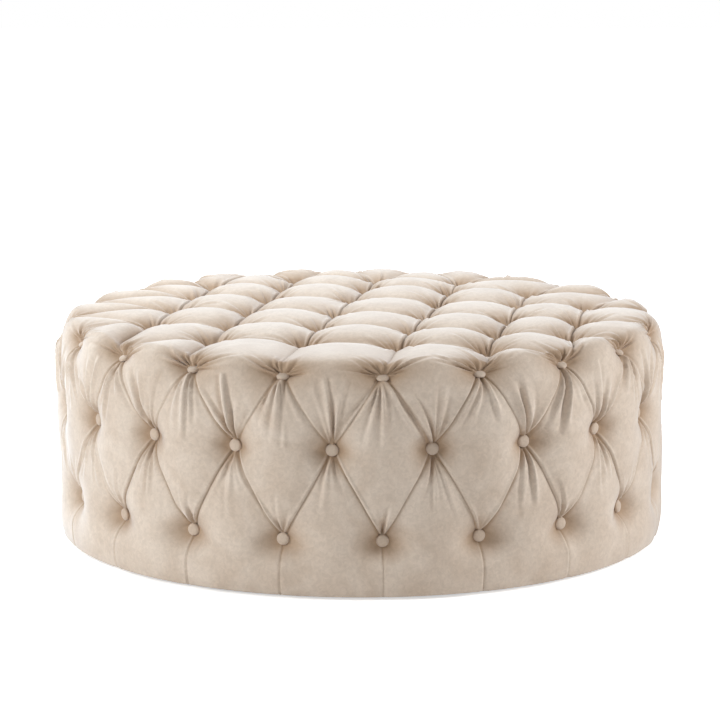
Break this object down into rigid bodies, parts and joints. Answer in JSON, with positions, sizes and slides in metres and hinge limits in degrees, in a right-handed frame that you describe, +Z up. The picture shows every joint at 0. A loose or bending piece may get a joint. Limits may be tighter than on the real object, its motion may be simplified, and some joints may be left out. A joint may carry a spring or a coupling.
{
  "type": "tufted footstool",
  "caption": "Round drum-shaped footstool, diamond-tufted in velvet over side and top with covered buttons, on a hidden timber frame.",
  "frame": {"origin": "on the floor under the middle of the drum", "axes": "+Z up; -Y is the side that faces the viewer of the picture"},
  "size_m": [1.1918, 1.1918, 0.4448],
  "materials": {
    "velvet": "short-pile cream velvet with a soft sheen",
    "tin": "plain stamped metal",
    "twine": "waxed nylon tufting twine",
    "fibre_washer": "pressed fibre",
    "wadding": "polyester wadding",
    "foam": "upholstery foam",
    "plywood": "raw plywood",
    "softwood": "planed pine",
    "hardboard": "brown hardboard",
    "screw_steel": "zinc-plated steel",
    "staple_steel": "galvanised wire",
    "dust_cloth": "black spun-bonded cloth",
    "glide_plastic": "moulded nylon"
  },
  "bodies": {
    "root": {"tufted_cover": "velvet", "low_row_buttons": "velvet", "mid_row_buttons": "velvet", "rim_buttons": "velvet", "top_buttons": "velvet", "turned_hem": "velvet", "button_backs": "tin", "side_twines": "twine", "rim_twines": "twine", "top_twines": "twine", "twine_washers": "fibre_washer", "top_wadding": "wadding", "side_wadding": "wadding", "top_foam_pad": "foam", "side_foam_wrap": "foam", "deck_panel": "plywood", "top_ring": "plywood", "base_ring": "plywood", "deck_rail_long": "softwood", "deck_rail_cross": "softwood", "centre_post": "softwood", "wall_posts": "softwood", "base_rail_long": "softwood", "base_rail_cross": "softwood", "wall_board": "hardboard", "deck_screws": "screw_steel", "base_screws": "screw_steel", "rail_screws": "screw_steel", "hem_staples": "staple_steel", "dust_cover_staples": "staple_steel", "dust_cover": "dust_cloth", "glides": "glide_plastic"}
  },
  "joints": []
}
